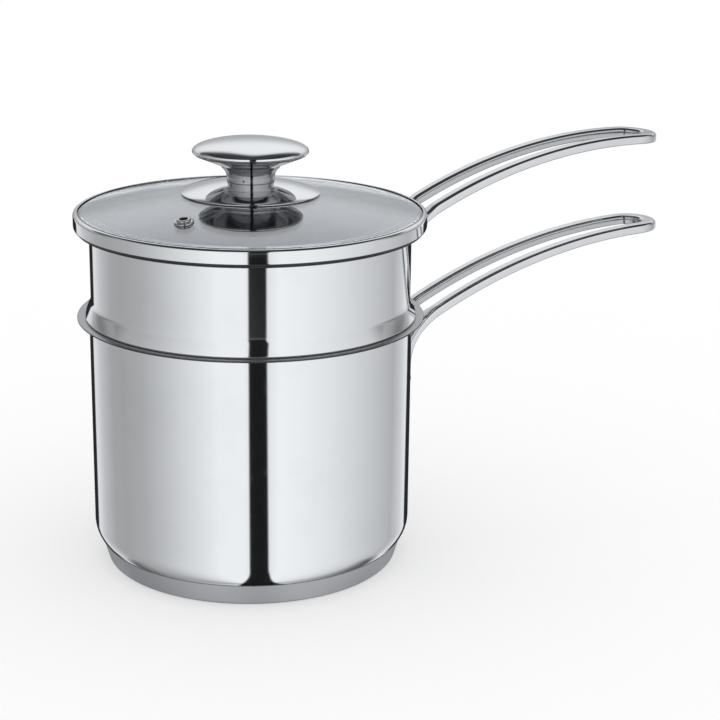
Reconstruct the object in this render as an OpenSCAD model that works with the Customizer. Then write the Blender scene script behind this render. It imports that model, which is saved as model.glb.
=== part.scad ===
// Double boiler: a saucepan, an insert pan that hangs in its mouth, and a domed glass lid.
// The origin is at the centre of the base's underside, +Z is up and the handles point along +X.

/* [Lower pan] */
// Inner diameter of the lower pan
pan_bore_d = 160; // [140:1:180]
// Thickness of the drawn steel sheet of both pans
sheet = 0.7; // [0.5:0.1:0.9]
// Height of the lower pan's rim above the table
pan_h = 127; // [110:1:160]
// Radius of the lower pan's rounded bottom corner
pan_corner_r = 14; // [12:1:20]
// Width of the flat pouring rim outside the lower pan's wall
pour_rim_w = 6; // [5:0.5:9]
// Radius of the turn from a wall into its rim
rim_bend_r = 1.6; // [1:0.1:2.2]

/* [Base] */
// Distance from the lower pan's wall in to the edge of the flat that it stands on
base_inset = 6.2; // [5:0.1:9]
// Height of the seam where the base cap ends, above the pan's floor
base_seam_h = 4.4; // [3:0.1:6]
// Thickness of the aluminium core at the middle of the base
core_t = 5.9; // [4:0.1:8]
// Thickness of the steel cap that wraps the core
cap_t = 0.6; // [0.4:0.1:0.8]
// Radius of the edge between the cap's flat and its side
cap_edge_r = 2; // [1.2:0.1:3]

/* [Insert pan] */
// Height from the seat on the lower rim to the insert's own rim
insert_h = 44.6; // [38:0.1:60]
// Step in from the lower pan's wall to the insert's wall
insert_wall_in = 0.9; // [0.4:0.1:1.4]
// Depth that the insert hangs below the lower pan's rim
insert_depth = 65; // [40:1:80]
// Radial gap between the hanging cup and the lower pan's bore
insert_gap = 1.2; // [0.8:0.1:2]
// Radius of the insert's rounded bottom corner
insert_corner_r = 12; // [8:1:16]
// Reach of the pressed bead that rests on the lower rim, past the lower pan's wall
bead_out = 2.3; // [2:0.1:3.5]
// Height over which the wall flares out to the bead
flare_h = 7.5; // [6:0.5:9]
// Width of the flat rim outside the insert's wall
insert_rim_w = 6.2; // [5:0.1:8]
// Gap between faces that rest on each other
seat_gap = 0.05; // [0.02:0.01:0.1]

/* [Handles] */
// Overall width of each handle's loop
handle_w = 30; // [28:0.5:34]
// Width of each of the loop's two rails
rail_w = 7; // [5.5:0.5:8]
// Length of solid metal at the tip, outside the slot
tip_w = 8; // [6:0.5:10]
// Thickness of the rails
rail_t = 4.9; // [4:0.1:6]
// Radius of the bend from the wall plate into the rails
handle_bend_r = 29; // [26:0.5:32]
// Length over which each handle widens from its plate to the full loop
widen_l = 9; // [6:0.5:10]
// Distance from the wall plate's face to the start of the slot
slot_start = 10; // [8:0.5:14]
// Reach of the lower handle past its pan's wall
lower_handle_l = 154.3; // [130:0.1:160]
// Radius of the long curve of the lower handle
lower_arm_r = 282; // [260:1:310]
// Slope of the lower handle where its long curve starts
lower_arm_angle = 28.5; // [26:0.5:31]
// Drop from the lower pan's rim to where its handle leaves the wall
lower_bend_drop = 34.3; // [33:0.1:40]
// Height of the lower wall plate below that bend
lower_plate_h = 9.7; // [8:0.1:14]
// Width of the lower handle's wall plate
lower_plate_w = 28; // [24:0.5:28]
// Outer face of the lower wall plate, measured from the wall
lower_plate_out = 2.7; // [2.2:0.1:3.5]
// Reach of the upper handle past its pan's wall
upper_handle_l = 152.2; // [130:0.1:158]
// Radius of the long curve of the upper handle
upper_arm_r = 255; // [240:1:280]
// Slope of the upper handle where its long curve starts
upper_arm_angle = 27; // [25:0.5:29]
// Rise from the seat to the foot of the upper wall plate
upper_foot_rise = 9.5; // [9:0.1:12]
// Height of the upper wall plate, up to where the handle leaves the wall
upper_plate_h = 10.6; // [8:0.1:12]
// Width of the upper handle's wall plate
upper_plate_w = 20; // [18:0.5:26]
// Outer face of the upper wall plate, measured from the wall
upper_plate_out = 2.2; // [2:0.1:3]
// Diameter of each weld spot between a plate and its wall
weld_d = 5; // [3:0.5:6]
// Gap that the weld spots bridge
weld_gap = 0.15; // [0.1:0.05:0.3]

/* [Lid] */
// Step out from the insert's rim to the band's outer side
band_out = 1.4; // [1:0.1:2]
// Height of the band's outer side
band_h = 8; // [7:0.1:10]
// Thickness of the band's steel strip
band_t = 0.5; // [0.4:0.1:0.6]
// Radius of the rolled corners of the band's outer side
band_roll_r = 0.9; // [0.7:0.1:1.2]
// Width of the band's lip on top of the glass
lip_w = 2.1; // [1.9:0.1:4]
// Depth of the band's step that sits inside the insert's mouth
step_h = 3.4; // [2.5:0.1:6]
// Radial gap between that step and the insert's wall
step_gap = 0.5; // [0.3:0.1:1]
// Radius of the hem under the step
hem_r = 0.75; // [0.65:0.05:1]
// Thickness of the toughened glass
glass_t = 4; // [3:0.1:5]
// Radius of curvature of the glass dome's upper face
dome_r = 347; // [300:1:420]
// Gap between the edge of the glass and the band round it
glass_edge_gap = 0.6; // [0.3:0.1:1]
// Distance of the steam vent from the lid's centre
vent_at = 60.7; // [46:0.1:66]
// Direction of the steam vent, anticlockwise from the handles
vent_dir = 218; // [0:1:359]
// Bore of the steam vent
vent_bore = 4; // [3:0.1:5]
// Outer diameter of the collar under the vent's rim
vent_collar_d = 9.6; // [9:0.1:12]
// Height of the vent's rim above the glass
vent_h = 2.2; // [2:0.1:3]

/* [Knob] */
// Outer radius of the knob's crown
crown_r = 28.7; // [26:0.1:31]
// Height of the crown's widest line above the neck's foot
crown_line_h = 16.3; // [14:0.1:18]
// Rise of the crown above its widest line
crown_h = 5.9; // [5:0.1:8]
// Radius of the crown's rounded rim
crown_rim_r = 1.9; // [1.7:0.1:3]
// Radius of the neck at its foot
neck_r = 11.9; // [10:0.1:12.5]
// Radius of the neck's shoulder under the crown
shoulder_r = 15.2; // [14.5:0.1:18]
// Height of the shoulder above the neck's foot
shoulder_h = 7.4; // [7:0.1:8]
// Outer radius of the steel rosette under the knob
rosette_r = 34.6; // [32:0.1:37]
// Rise of the rosette from its rim to its middle
rosette_rise = 4.6; // [4.4:0.1:6]
// Thickness of the rosette and of the knob's pressed shells
press_t = 0.8; // [0.6:0.1:1]
// Radius of the silicone cushion under the rosette
cushion_r = 10; // [8:0.5:14]
// Radius of the threaded bush in the knob
bush_r = 6; // [5:0.5:8]
// Diameter of the knob screw's shank
screw_d = 5; // [4:0.5:6]
// Radius of the knob screw's head
screw_head_r = 5; // [4.5:0.1:6.5]
// Height of the knob screw's head
screw_head_h = 3; // [2.6:0.1:4]
// Length of the screw's shank inside the bush
screw_reach = 9; // [6:0.5:12]
// Radius of the silicone seal between the glass and the screw's washer
seal_r = 8; // [7:0.1:12]
// Thickness of the silicone seal
seal_t = 1.2; // [0.8:0.1:2]
// Thickness of the washers under the glass
washer_t = 1; // [0.8:0.1:1.5]

/* [Hidden] */
$fn = 96;

steel = [0.80, 0.81, 0.82];
satin_steel = [0.62, 0.62, 0.63];
aluminium = [0.72, 0.73, 0.75];
clear_glass = [0.72, 0.80, 0.86, 0.55];
silicone = [0.86, 0.86, 0.84];

// Steps along a short arc of a profile, along a dome, and round a handle's bend
arc_n = 10;
dome_n = 30;
bend_n = 12;
// Largest step of the long handle curves, in degrees
arm_step = 1.5;
// Overshoot of a cutting solid past the face that it opens
past = 1;
// Running gap between fixed pieces that touch
fit_gap = 0.05;

function unit(v) = v / norm(v);
function left(v) = [-v.y, v.x];
function arc(c, r, a0, a1, n = arc_n) =
    [for (i = [0:n]) let (a = a0 + (a1 - a0) * i / n) c + r * [cos(a), sin(a)]];
// Sideways step at point i that keeps the far side of a strip parallel to its path
function mitre(p, i) =
    let (a = i > 0 ? unit(p[i] - p[i - 1]) : unit(p[1] - p[0]),
         b = i < len(p) - 1 ? unit(p[i + 1] - p[i]) : a,
         n = unit(left(a) + left(b)))
    n / (n * left(a));
// A path moved sideways to its left by t
function beside(p, t) = [for (i = [0:len(p) - 1]) p[i] + t * mitre(p, i)];
function backwards(p) = [for (i = [len(p) - 1:-1:0]) p[i]];
// Closed outline of a strip of thickness t on the left of an open path
function strip(p, t) = concat(p, backwards(beside(p, t)));
// Distances from the axis, from r0 to r1 in n steps
function radii(r0, r1, n) = [for (i = [0:n]) r0 + (r1 - r0) * i / n];
// Height at radius r of a dome that curves with radius curve_r below its top
function cap_z(top, curve_r, r) = top - curve_r + sqrt(pow(curve_r, 2) - r * r);

// Lower pan and base
wall_r = pan_bore_d / 2 + sheet;
shell_floor_z = cap_t + core_t;
seam_z = shell_floor_z + base_seam_h;
corner_c = [wall_r - pan_corner_r, shell_floor_z + pan_corner_r];
lower_corner = arc(corner_c, pan_corner_r, -90, 0, 2 * arc_n);
seam_r = corner_c.x + sqrt(pow(pan_corner_r, 2) - pow(corner_c.y - seam_z, 2));
base_r = wall_r - base_inset;
// Outer path of the lower pan, from the middle of its floor to the edge of its rim
lower_path = concat(
    [[0, shell_floor_z]],
    lower_corner,
    arc([wall_r + rim_bend_r, pan_h - sheet - rim_bend_r], rim_bend_r, 180, 90),
    [[wall_r + pour_rim_w, pan_h - sheet]]);
// Slope at which the cap's rounded edge runs into its side
cap_side_a = 20;
// Outer path of the cap, from the middle of its flat to its seam on the pan's corner
cap_path = concat(
    [[0, 0]],
    arc([base_r - cap_edge_r, cap_edge_r], cap_edge_r, -90, -cap_side_a),
    [[seam_r + cap_t / 2, seam_z]]);

module lower_pan_shell() {
    color(steel) rotate_extrude() polygon(strip(lower_path, sheet));
}

// Section of the pan's bottom, which the cap and the core fit round
module pan_bottom() {
    polygon(concat([[0, shell_floor_z]], lower_corner, [[0, corner_c.y]]));
}

module base_cap() {
    color(satin_steel) rotate_extrude() difference() {
        polygon(strip(cap_path, cap_t));
        pan_bottom();
    }
}

module base_core() {
    color(aluminium) rotate_extrude() difference() {
        polygon(concat(beside(cap_path, cap_t), [[0, seam_z]]));
        pan_bottom();
        translate([0, seam_z - cap_t]) square([wall_r, pan_corner_r]);
    }
}

// Insert pan
seat_z = pan_h + seat_gap;
insert_rim_z = seat_z + insert_h;
insert_wall_r = wall_r - insert_wall_in;
insert_rim_r = insert_wall_r + insert_rim_w;
insert_floor_z = pan_h - insert_depth;
cup_r = pan_bore_d / 2 - insert_gap;
// Turn of the bead round its inner radius
bead_inner_r = 0.3;
bead_turn_r = sheet + bead_inner_r;
bead_c = [wall_r + bead_out - bead_turn_r, seat_z + bead_turn_r];
// Angle at which the flare leaves the bead, and the bend where it meets the wall
flare_a = 18;
flare_bend_r = 6;
flare_bend_a = 25;
flare_top_z = seat_z + flare_h + flare_bend_r * sin(flare_bend_a) - flare_bend_r * (1 - cos(flare_bend_a));
// Outer path of the insert pan, from the middle of its floor to the edge of its rim
insert_path = concat(
    [[0, insert_floor_z]],
    arc([cup_r - insert_corner_r, insert_floor_z + insert_corner_r], insert_corner_r, -90, 0),
    arc([cup_r + rim_bend_r, seat_z - rim_bend_r], rim_bend_r, 180, 90),
    arc(bead_c, bead_turn_r, -90, flare_a),
    arc([insert_wall_r + flare_bend_r, flare_top_z], flare_bend_r, 180 + flare_bend_a, 180),
    arc([insert_wall_r + rim_bend_r, insert_rim_z - sheet - rim_bend_r], rim_bend_r, 180, 90),
    [[insert_rim_r, insert_rim_z - sheet]]);

module insert_pan_shell() {
    color(steel) rotate_extrude() polygon(strip(insert_path, sheet));
}

// Handles
slot_w = handle_w - 2 * rail_w;
// Length of the narrow neck between the wall plate's face and the widening
neck_l = 2;
lower_bend_z = pan_h - lower_bend_drop;
lower_foot_z = lower_bend_z - lower_plate_h;
upper_foot_z = seat_z + upper_foot_rise;
upper_bend_z = upper_foot_z + upper_plate_h;

// Underside of a handle in side view: up the wall plate, round the bend and along the arm.
// Each entry is [distance from the axis, height, slope].
function handle_under(face_r, foot_z, bend_z, arm_r, arm_slope, reach) =
    let (bend_c = [face_r + handle_bend_r, bend_z],
         join = bend_c + handle_bend_r * [-sin(arm_slope), cos(arm_slope)],
         arm_c = join + arm_r * [sin(arm_slope), -cos(arm_slope)],
         end_slope = asin((arm_c.x - reach) / arm_r),
         arm_n = ceil((arm_slope - end_slope) / arm_step))
    concat([[face_r, foot_z, 90]],
           [for (i = [0:bend_n]) let (a = 90 - (90 - arm_slope) * i / bend_n)
               [bend_c.x - handle_bend_r * sin(a), bend_c.y + handle_bend_r * cos(a), a]],
           [for (i = [1:arm_n]) let (a = arm_slope + (end_slope - arm_slope) * i / arm_n)
               [arm_c.x - arm_r * sin(a), arm_c.y + arm_r * cos(a), a]]);
// Thickness of a handle where its underside has a slope, from the plate to the rails
function handle_thick(slope, arm_slope, plate_t) =
    let (f = min(1, (90 - slope) / (90 - arm_slope)))
    plate_t + (rail_t - plate_t) * pow(f, 3);
function handle_side(under, arm_slope, plate_t) = concat(
    [for (u = under) [u.x, u.y]],
    [for (u = backwards(under)) let (t = handle_thick(u.z, arm_slope, plate_t))
        [u.x - t * sin(u.z), u.y + t * cos(u.z)]]);

// Plan of a handle: a narrow plate at the wall, two rails with a slot, and a round tip
module handle_plan(face_r, plate_w, reach) {
    neck_x = face_r + neck_l;
    full_x = neck_x + widen_l;
    tip_c = reach - handle_w / 2;
    slot_x0 = face_r + slot_start + slot_w / 2;
    slot_x1 = reach - tip_w - slot_w / 2;
    difference() {
        union() {
            translate([0, -plate_w / 2]) square([neck_x, plate_w]);
            polygon([[neck_x, -plate_w / 2], [full_x, -handle_w / 2],
                     [full_x, handle_w / 2], [neck_x, plate_w / 2]]);
            translate([full_x, -handle_w / 2]) square([tip_c - full_x, handle_w]);
            translate([tip_c, 0]) circle(d = handle_w);
        }
        translate([slot_x0, 0]) circle(d = slot_w);
        translate([slot_x0, -slot_w / 2]) square([slot_x1 - slot_x0, slot_w]);
        translate([slot_x1, 0]) circle(d = slot_w);
    }
}

module handle(own_wall_r, plate_out, plate_w, foot_z, bend_z, arm_r, arm_slope, length) {
    face_r = own_wall_r + plate_out;
    reach = own_wall_r + length;
    edge_r = sqrt(pow(own_wall_r, 2) - pow(plate_w / 2, 2));
    under = handle_under(face_r, foot_z, bend_z, arm_r, arm_slope, reach);
    color(steel) difference() {
        intersection() {
            translate([0, handle_w / 2, 0]) rotate([90, 0, 0]) linear_extrude(handle_w)
                polygon(handle_side(under, arm_slope, face_r - edge_r));
            translate([0, 0, foot_z]) linear_extrude(bend_z - foot_z + arm_r)
                handle_plan(face_r, plate_w, reach);
        }
        translate([0, 0, foot_z - past])
            cylinder(r = own_wall_r + weld_gap, h = bend_z - foot_z + handle_bend_r);
    }
}

// Weld spots in two columns between a wall and a handle's plate
module weld_spots(own_wall_r, plate_w, foot_z, bend_z) {
    heights = [foot_z + weld_d, bend_z + weld_d / 2];
    ring_z = foot_z;
    ring_h = bend_z - foot_z + 2 * weld_d;
    color(satin_steel) intersection() {
        for (z = heights, side = [-1, 1])
            translate([0, 0, z]) rotate([0, 0, side * asin(plate_w / 4 / own_wall_r)])
                rotate([0, 90, 0]) cylinder(d = weld_d, h = own_wall_r + past);
        translate([0, 0, ring_z]) difference() {
            cylinder(r = own_wall_r + weld_gap, h = ring_h);
            translate([0, 0, -past]) cylinder(r = own_wall_r, h = ring_h + 2 * past);
        }
    }
}

module lower_handle() {
    handle(wall_r, lower_plate_out, lower_plate_w, lower_foot_z, lower_bend_z, lower_arm_r,
           lower_arm_angle, lower_handle_l);
}

module lower_handle_welds() {
    weld_spots(wall_r, lower_plate_w, lower_foot_z, lower_bend_z);
}

module upper_handle() {
    handle(insert_wall_r, upper_plate_out, upper_plate_w, upper_foot_z, upper_bend_z, upper_arm_r,
           upper_arm_angle, upper_handle_l);
}

module upper_handle_welds() {
    weld_spots(insert_wall_r, upper_plate_w, upper_foot_z, upper_bend_z);
}

// Lid: band and glass
band_z = insert_rim_z + seat_gap;
band_r = insert_rim_r + band_out;
step_r = insert_wall_r - sheet - step_gap;
leg_r = step_r - 2 * hem_r;
glass_r = band_r - band_t - glass_edge_gap;
lip_under_z = band_z + band_h - band_t;
// The dome touches the band's lip from below, at the lip's inner edge
dome_top = lip_under_z - 2 * fit_gap + dome_r - sqrt(pow(dome_r, 2) - pow(band_r - lip_w, 2));
function dome_z(r) = cap_z(dome_top, dome_r, r);

// Outer path of the band: lip on the glass, side, ledge on the insert's rim, step and inner leg
band_path = concat(
    [[band_r - lip_w, band_z + band_h]],
    arc([band_r - band_roll_r, band_z + band_h - band_roll_r], band_roll_r, 90, 0),
    arc([band_r - band_roll_r, band_z + band_roll_r], band_roll_r, 0, -90),
    [[step_r, band_z]],
    arc([step_r - hem_r, band_z - step_h + hem_r], hem_r, 0, -180),
    [[leg_r, dome_z(leg_r + band_t) - glass_t - fit_gap]]);

module lid_band() {
    color(steel) rotate_extrude() polygon(strip(band_path, -band_t));
}

// Lid: steam vent
eyelet_wall = 0.6;
// Overhang and height of the eyelet's upper rim, and overhang of its rolled foot
eyelet_rim = 0.9;
// Radii of the rim's outer and inner edges
eyelet_edge_r = 0.6;
eyelet_mouth_r = 0.4;
eyelet_r = vent_bore / 2 + eyelet_wall;
vent_foot_z = -glass_t - washer_t;

// Places its children square to the glass at the steam vent
module at_vent() {
    rotate([0, 0, vent_dir]) translate([vent_at, 0, dome_z(vent_at)])
        rotate([0, asin(vent_at / dome_r), 0]) children();
}

module lid_glass() {
    color(clear_glass) difference() {
        rotate_extrude() polygon(concat(
            [for (r = radii(0, glass_r, dome_n)) [r, dome_z(r)]],
            [for (r = radii(glass_r, 0, dome_n)) [r, dome_z(r) - glass_t]]));
        translate([0, 0, dome_top - glass_t - past]) cylinder(r = screw_hole_r, h = glass_t + 2 * past);
        at_vent() translate([0, 0, -glass_t - past])
            cylinder(r = eyelet_r + fit_gap, h = glass_t + 2 * past);
    }
}

// Rolled tube through the glass, with a rim above its collar and a rolled foot under its washer
module vent_eyelet() {
    rim_r = eyelet_r + eyelet_rim;
    color(steel) at_vent() rotate_extrude() polygon(concat(
        [[vent_bore / 2, vent_foot_z - eyelet_wall], [rim_r, vent_foot_z - eyelet_wall],
         [rim_r, vent_foot_z - fit_gap], [eyelet_r, vent_foot_z - fit_gap],
         [eyelet_r, vent_h - eyelet_rim], [rim_r, vent_h - eyelet_rim]],
        arc([rim_r - eyelet_edge_r, vent_h - eyelet_edge_r], eyelet_edge_r, 0, 90),
        arc([vent_bore / 2 + eyelet_mouth_r, vent_h - eyelet_mouth_r], eyelet_mouth_r, 90, 180)));
}

// Flat steel collar that spreads the eyelet's rim on the glass
module vent_collar() {
    collar_r = vent_collar_d / 2;
    edge_r = 0.5;
    color(steel) at_vent() rotate_extrude() polygon(concat(
        [[eyelet_r + fit_gap, fit_gap], [collar_r, fit_gap]],
        arc([collar_r - edge_r, fit_gap + edge_r], edge_r, 0, 90),
        [[eyelet_r + eyelet_rim, vent_h - eyelet_rim - fit_gap],
         [eyelet_r + fit_gap, vent_h - eyelet_rim - fit_gap]]));
}

// Soft washer between the glass's underside and the eyelet's rolled foot
module vent_washer() {
    overhang = 2;
    color(silicone) at_vent() translate([0, 0, vent_foot_z]) difference() {
        cylinder(r = eyelet_r + overhang, h = washer_t - fit_gap);
        translate([0, 0, -past]) cylinder(r = eyelet_r + fit_gap, h = washer_t + 2 * past);
    }
}

// Knob: rosette and its cushion
screw_hole_gap = 0.3;
rosette_hole_r = screw_d / 2 + screw_hole_gap;
screw_hole_r = screw_d / 2 + 5 * screw_hole_gap;
rosette_rim_z = dome_z(rosette_r) + fit_gap;
rosette_top_z = rosette_rim_z + rosette_rise;
rosette_dome_h = rosette_rise - press_t;
rosette_dome_r = (pow(rosette_r, 2) + pow(rosette_dome_h, 2)) / (2 * rosette_dome_h);
function rosette_z(r) = cap_z(rosette_top_z, rosette_dome_r, r);

// Pressed convex disc whose edge stands on the glass
module rosette() {
    color(steel) rotate_extrude() polygon(concat(
        [for (r = radii(rosette_hole_r, rosette_r, dome_n)) [r, rosette_z(r)]],
        [for (r = radii(rosette_r, rosette_hole_r, dome_n)) [r, rosette_z(r) - press_t]]));
}

// Silicone cushion that carries the middle of the rosette on the glass
module rosette_cushion() {
    color(silicone) rotate_extrude() polygon(concat(
        [for (r = radii(rosette_hole_r, cushion_r, arc_n)) [r, dome_z(r) + fit_gap]],
        [for (r = radii(cushion_r, rosette_hole_r, arc_n)) [r, rosette_z(r) - press_t - fit_gap]]));
}

// Knob: neck, crown and bush
neck_foot_z = rosette_top_z + fit_gap;
shoulder_z = neck_foot_z + shoulder_h;
crown_line_z = neck_foot_z + crown_line_h;
crown_top_z = crown_line_z + crown_h;
// Angle at which the crown's hem ends, below its widest line
hem_a = -80;
crown_join_z = crown_line_z + crown_rim_r * sin(hem_a) - fit_gap;
// Step in from the crown's widest line to the edge of the neck's tray
tray_in = 1.1;
tray_r = crown_r - tray_in;
bush_bore_r = screw_d / 2 + fit_gap;
bush_foot_z = rosette_z(bush_r) + 5 * fit_gap;

// Waisted neck that spreads under the crown as a tray and stands on the rosette
module knob_neck() {
    bore = bush_r + fit_gap;
    band = 0.6;
    flank_r = 6;
    waist = [neck_r + flank_r, neck_foot_z + 2 * band];
    shoulder_edge = [1, 0.8];
    tray_edge_h = 0.5;
    floor_z = shoulder_z + 2 * press_t;
    color(steel) rotate_extrude() polygon(concat(
        [for (r = radii(bore, neck_r, arc_n)) [r, rosette_z(r) + fit_gap]],
        [[neck_r, neck_foot_z + band]],
        arc(waist, flank_r, 180, 128),
        [[shoulder_r, shoulder_z] - shoulder_edge, [shoulder_r, shoulder_z],
         [tray_r, crown_join_z - tray_edge_h], [tray_r, crown_join_z],
         [tray_r - press_t, crown_join_z], [shoulder_r, floor_z], [bore, floor_z]]));
}

// Domed crown, a pressed shell whose rounded rim closes over the neck's tray
crown_dome_h = crown_h - crown_rim_r;
crown_dome_r = (pow(crown_r - crown_rim_r, 2) + pow(crown_dome_h, 2)) / (2 * crown_dome_h);
crown_edge_a = asin((crown_r - crown_rim_r) / crown_dome_r);
module knob_crown() {
    dome_c = [0, crown_top_z - crown_dome_r];
    rim_c = [crown_r - crown_rim_r, crown_line_z];
    color(steel) rotate_extrude() polygon(concat(
        arc(dome_c, crown_dome_r, 90, 90 - crown_edge_a, dome_n),
        arc(rim_c, crown_rim_r, 90 - crown_edge_a, hem_a),
        arc(rim_c, crown_rim_r - press_t, hem_a, 90 - crown_edge_a),
        arc(dome_c, crown_dome_r - press_t, 90 - crown_edge_a, 90, dome_n)));
}

// Threaded bush inside the knob, from the neck's foot up to just under the crown
module knob_bush() {
    bush_h = crown_top_z - press_t - bush_foot_z - washer_t;
    color(satin_steel) translate([0, 0, bush_foot_z]) difference() {
        cylinder(r = bush_r, h = bush_h);
        translate([0, 0, -past]) cylinder(r = bush_bore_r, h = screw_reach + 2 * past);
    }
}

// Knob: screw and its seal under the glass
seal_top_z = dome_z(seal_r) - glass_t - fit_gap;
screw_head_z = seal_top_z - seal_t - washer_t - 2 * fit_gap;

// Flat ring round the screw
module screw_ring(r, h) {
    difference() {
        cylinder(r = r, h = h);
        translate([0, 0, -past]) cylinder(r = bush_bore_r, h = h + 2 * past);
    }
}

module screw_seal() {
    color(silicone) translate([0, 0, seal_top_z - seal_t]) screw_ring(seal_r, seal_t);
}

module screw_washer() {
    seal_margin = 0.5;
    color(steel) translate([0, 0, screw_head_z + fit_gap]) screw_ring(seal_r - seal_margin, washer_t);
}

// Pan-head screw with a cross recess, driven from under the lid
module knob_screw() {
    recess_w = 1.2;
    recess_l = 5;
    recess_h = 1.8;
    head_edge_r = 2.2;
    color(satin_steel) difference() {
        union() {
            translate([0, 0, screw_head_z])
                cylinder(d = screw_d, h = bush_foot_z + screw_reach - screw_head_z);
            rotate_extrude() polygon(concat(
                [[0, screw_head_z], [screw_head_r, screw_head_z]],
                arc([screw_head_r - head_edge_r, screw_head_z - screw_head_h + head_edge_r],
                    head_edge_r, 0, -90),
                [[0, screw_head_z - screw_head_h]]));
        }
        for (a = [0, 90]) rotate([0, 0, a])
            translate([-recess_l / 2, -recess_w / 2, screw_head_z - screw_head_h - past])
                cube([recess_l, recess_w, recess_h + past]);
    }
}

lower_pan_shell();
base_core();
base_cap();
lower_handle();
lower_handle_welds();
insert_pan_shell();
upper_handle();
upper_handle_welds();
lid_glass();
lid_band();
vent_eyelet();
vent_collar();
vent_washer();
rosette();
rosette_cushion();
knob_neck();
knob_crown();
knob_bush();
knob_screw();
screw_washer();
screw_seal();
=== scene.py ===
"""Looks of a double boiler, modelled and dressed round its packed construction model.

Sizes are in millimetres and meshes in metres, in the same frame as the construction: +Z up, the
origin under the middle of the base, and both handles along +X.
"""

import logging
import math
from collections.abc import Sequence
from dataclasses import dataclass, field
from enum import Enum
from typing import Any, ClassVar

import bmesh
import bpy
from mathutils import Matrix, Vector


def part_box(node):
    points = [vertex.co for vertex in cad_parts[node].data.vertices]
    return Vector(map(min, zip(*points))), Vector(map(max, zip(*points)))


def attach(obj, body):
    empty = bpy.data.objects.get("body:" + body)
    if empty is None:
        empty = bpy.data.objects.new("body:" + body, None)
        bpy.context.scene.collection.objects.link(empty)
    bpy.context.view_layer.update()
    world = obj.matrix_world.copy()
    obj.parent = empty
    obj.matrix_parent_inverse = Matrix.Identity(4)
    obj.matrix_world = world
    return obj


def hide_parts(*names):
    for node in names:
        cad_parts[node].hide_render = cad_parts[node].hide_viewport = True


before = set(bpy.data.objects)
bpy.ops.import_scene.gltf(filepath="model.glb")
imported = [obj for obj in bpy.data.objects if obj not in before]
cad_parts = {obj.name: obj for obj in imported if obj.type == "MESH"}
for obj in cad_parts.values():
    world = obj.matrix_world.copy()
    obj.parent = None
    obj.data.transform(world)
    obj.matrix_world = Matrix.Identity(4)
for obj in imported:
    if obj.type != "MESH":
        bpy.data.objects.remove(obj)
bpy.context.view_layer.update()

MM = 0.001
# Points closer than this are one, and a point closer than the next lies on a line, in millimetres
MERGED = 1e-4
IN_LINE = 1e-3
SHARP = math.radians(60)
Tint = tuple[float, float, float]
RGBA = tuple[float, float, float, float]
Edge = tuple[float, float]
Stops = tuple[tuple[float, float], ...]
LOG = logging.getLogger("double_boiler")


@dataclass(frozen=True)
class Envelope:
    """Reach and heights of a node of the construction model, in millimetres."""

    reach: float
    low: float
    high: float

    @classmethod
    def of(cls, node: str) -> "Envelope":
        """Returns a node's reach along +X and its lowest and highest points."""
        low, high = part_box(node)
        return cls(high.x / MM, low.z / MM, high.z / MM)


@dataclass(frozen=True)
class Bend:
    """Round stretch of a section: its centre, its radius and its angles in degrees, from +r to +z."""

    r: float
    z: float
    radius: float
    start: float
    end: float

    def at(self, angle: float) -> Vector:
        """Returns the point of the bend at an angle in degrees, in the plane of the section."""
        a = math.radians(angle)
        return Vector((self.r + self.radius * math.cos(a), 0.0, self.z + self.radius * math.sin(a)))


@dataclass(frozen=True)
class Point:
    """Corner of a section: its distance from the axis and its height."""

    r: float
    z: float


Stretch = Bend | Point


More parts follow.
